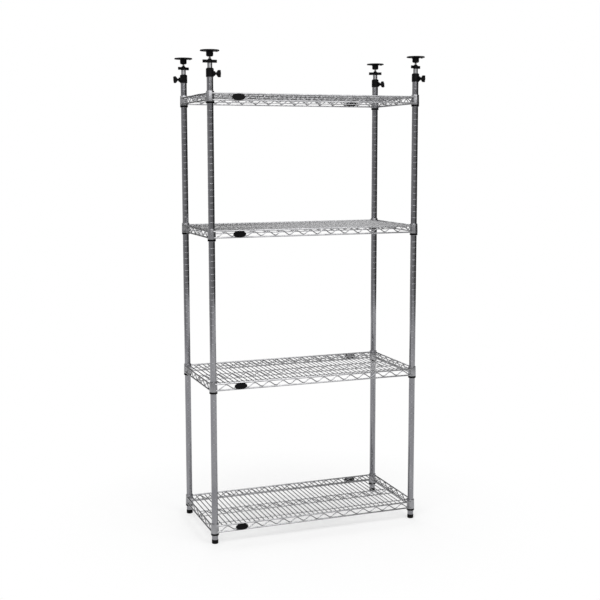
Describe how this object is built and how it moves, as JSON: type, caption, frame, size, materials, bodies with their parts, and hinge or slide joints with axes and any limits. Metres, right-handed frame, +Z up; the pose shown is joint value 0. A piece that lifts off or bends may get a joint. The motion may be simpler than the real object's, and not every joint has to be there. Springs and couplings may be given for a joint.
{
  "type": "tension pole shelf unit",
  "caption": "Floor-to-ceiling wire shelf unit: grooved steel posts carry welded wire shelves on split sleeves, and jacked telescopic poles press pads up to the ceiling.",
  "frame": {"origin": "on the floor, at the centre of the rectangle of the four feet", "axes": "+Z up along the posts, +X along the shelves' width to the right as seen from the front, +Y to the back"},
  "size_m": [0.967, 0.475, 1.965],
  "materials": {
    "chrome_wire": "bright plated wire, slightly soft reflections",
    "chrome_tube": "bright plated tube, a little worn",
    "plated_screw": "zinc plated thread",
    "black_plastic": "fine moulded texture, satin",
    "black_rubber": "matte"
  },
  "bodies": {
    "root": {"shelf_1": "chrome_wire", "shelf_2": "chrome_wire", "shelf_3": "chrome_wire", "shelf_4": "chrome_wire", "post_front_left": "chrome_tube", "post_front_right": "chrome_tube", "post_back_right": "chrome_tube", "post_back_left": "chrome_tube", "foot_cap_front_left": "black_rubber", "foot_cap_front_right": "black_rubber", "foot_cap_back_right": "black_rubber", "foot_cap_back_left": "black_rubber", "sleeve_1_front_left": "black_plastic", "sleeve_1_front_right": "black_plastic", "sleeve_1_back_right": "black_plastic", "sleeve_1_back_left": "black_plastic", "sleeve_2_front_left": "black_plastic", "sleeve_2_front_right": "black_plastic", "sleeve_2_back_right": "black_plastic", "sleeve_2_back_left": "black_plastic", "sleeve_3_front_left": "black_plastic", "sleeve_3_front_right": "black_plastic", "sleeve_3_back_right": "black_plastic", "sleeve_3_back_left": "black_plastic", "sleeve_4_front_left": "black_plastic", "sleeve_4_front_right": "black_plastic", "sleeve_4_back_right": "black_plastic", "sleeve_4_back_left": "black_plastic", "clamp_collar_front_left": "black_plastic", "clamp_collar_front_right": "black_plastic", "clamp_collar_back_right": "black_plastic", "clamp_collar_back_left": "black_plastic"},
    "pole_front_left": {"inner_pole_front_left": "chrome_tube"},
    "nut_front_left": {"jack_nut_front_left": "black_plastic"},
    "pad_front_left": {"jack_screw_front_left": "plated_screw", "ceiling_pad_front_left": "black_plastic", "pad_rubber_front_left": "black_rubber"},
    "bolt_front_left": {"wing_screw_front_left": "plated_screw"},
    "knob_front_left": {"wing_knob_front_left": "black_plastic"},
    "pole_front_right": {"inner_pole_front_right": "chrome_tube"},
    "nut_front_right": {"jack_nut_front_right": "black_plastic"},
    "pad_front_right": {"jack_screw_front_right": "plated_screw", "ceiling_pad_front_right": "black_plastic", "pad_rubber_front_right": "black_rubber"},
    "bolt_front_right": {"wing_screw_front_right": "plated_screw"},
    "knob_front_right": {"wing_knob_front_right": "black_plastic"},
    "pole_back_right": {"inner_pole_back_right": "chrome_tube"},
    "nut_back_right": {"jack_nut_back_right": "black_plastic"},
    "pad_back_right": {"jack_screw_back_right": "plated_screw", "ceiling_pad_back_right": "black_plastic", "pad_rubber_back_right": "black_rubber"},
    "bolt_back_right": {"wing_screw_back_right": "plated_screw"},
    "knob_back_right": {"wing_knob_back_right": "black_plastic"},
    "pole_back_left": {"inner_pole_back_left": "chrome_tube"},
    "nut_back_left": {"jack_nut_back_left": "black_plastic"},
    "pad_back_left": {"jack_screw_back_left": "plated_screw", "ceiling_pad_back_left": "black_plastic", "pad_rubber_back_left": "black_rubber"},
    "bolt_back_left": {"wing_screw_back_left": "plated_screw"},
    "knob_back_left": {"wing_knob_back_left": "black_plastic"}
  },
  "joints": [
    {"name": "pole_slide_front_left", "type": "slide", "parent": "root", "child": "pole_front_left", "axis": [0, 0, 1], "range_m": [-0.017, 0.23]},
    {"name": "nut_turn_front_left", "type": "hinge", "parent": "pole_front_left", "child": "nut_front_left", "pos_m": [-0.44, -0.2, 1.924], "axis": [0, 0, 1], "range_deg": [-9000, 1800]},
    {"name": "pad_lift_front_left", "type": "slide", "parent": "pole_front_left", "child": "pad_front_left", "axis": [0, 0, 1], "range_m": [-0.0075, 0.0375]},
    {"name": "bolt_slide_front_left", "type": "slide", "parent": "root", "child": "bolt_front_left", "axis": [1, 0, 0], "range_m": [0, 0.003]},
    {"name": "knob_turn_front_left", "type": "hinge", "parent": "bolt_front_left", "child": "knob_front_left", "pos_m": [-0.405, -0.2, 1.8759], "axis": [1, 0, 0], "range_deg": [0, 1080]},
    {"name": "pole_slide_front_right", "type": "slide", "parent": "root", "child": "pole_front_right", "axis": [0, 0, 1], "range_m": [-0.017, 0.23]},
    {"name": "nut_turn_front_right", "type": "hinge", "parent": "pole_front_right", "child": "nut_front_right", "pos_m": [0.44, -0.2, 1.924], "axis": [0, 0, 1], "range_deg": [-9000, 1800]},
    {"name": "pad_lift_front_right", "type": "slide", "parent": "pole_front_right", "child": "pad_front_right", "axis": [0, 0, 1], "range_m": [-0.0075, 0.0375]},
    {"name": "bolt_slide_front_right", "type": "slide", "parent": "root", "child": "bolt_front_right", "axis": [1, 0, 0], "range_m": [0, 0.003]},
    {"name": "knob_turn_front_right", "type": "hinge", "parent": "bolt_front_right", "child": "knob_front_right", "pos_m": [0.475, -0.2, 1.8759], "axis": [1, 0, 0], "range_deg": [0, 1080]},
    {"name": "pole_slide_back_right", "type": "slide", "parent": "root", "child": "pole_back_right", "axis": [0, 0, 1], "range_m": [-0.017, 0.23]},
    {"name": "nut_turn_back_right", "type": "hinge", "parent": "pole_back_right", "child": "nut_back_right", "pos_m": [0.44, 0.2, 1.924], "axis": [0, 0, 1], "range_deg": [-9000, 1800]},
    {"name": "pad_lift_back_right", "type": "slide", "parent": "pole_back_right", "child": "pad_back_right", "axis": [0, 0, 1], "range_m": [-0.0075, 0.0375]},
    {"name": "bolt_slide_back_right", "type": "slide", "parent": "root", "child": "bolt_back_right", "axis": [1, 0, 0], "range_m": [0, 0.003]},
    {"name": "knob_turn_back_right", "type": "hinge", "parent": "bolt_back_right", "child": "knob_back_right", "pos_m": [0.475, 0.2, 1.8759], "axis": [1, 0, 0], "range_deg": [0, 1080]},
    {"name": "pole_slide_back_left", "type": "slide", "parent": "root", "child": "pole_back_left", "axis": [0, 0, 1], "range_m": [-0.017, 0.23]},
    {"name": "nut_turn_back_left", "type": "hinge", "parent": "pole_back_left", "child": "nut_back_left", "pos_m": [-0.44, 0.2, 1.924], "axis": [0, 0, 1], "range_deg": [-9000, 1800]},
    {"name": "pad_lift_back_left", "type": "slide", "parent": "pole_back_left", "child": "pad_back_left", "axis": [0, 0, 1], "range_m": [-0.0075, 0.0375]},
    {"name": "bolt_slide_back_left", "type": "slide", "parent": "root", "child": "bolt_back_left", "axis": [-1, 0, 0], "range_m": [0, 0.003]},
    {"name": "knob_turn_back_left", "type": "hinge", "parent": "bolt_back_left", "child": "knob_back_left", "pos_m": [-0.475, 0.2, 1.8759], "axis": [-1, 0, 0], "range_deg": [0, 1080]}
  ],
  "couplings": [
    {"joint": "nut_turn_front_left", "follows": "pad_lift_front_left", "rad_per_m": -4188.8},
    {"joint": "nut_turn_front_right", "follows": "pad_lift_front_right", "rad_per_m": -4188.8},
    {"joint": "nut_turn_back_right", "follows": "pad_lift_back_right", "rad_per_m": -4188.8},
    {"joint": "nut_turn_back_left", "follows": "pad_lift_back_left", "rad_per_m": -4188.8},
    {"joint": "knob_turn_front_left", "follows": "bolt_slide_front_left", "rad_per_m": 6283.2},
    {"joint": "knob_turn_front_right", "follows": "bolt_slide_front_right", "rad_per_m": 6283.2},
    {"joint": "knob_turn_back_right", "follows": "bolt_slide_back_right", "rad_per_m": 6283.2},
    {"joint": "knob_turn_back_left", "follows": "bolt_slide_back_left", "rad_per_m": 6283.2}
  ]
}
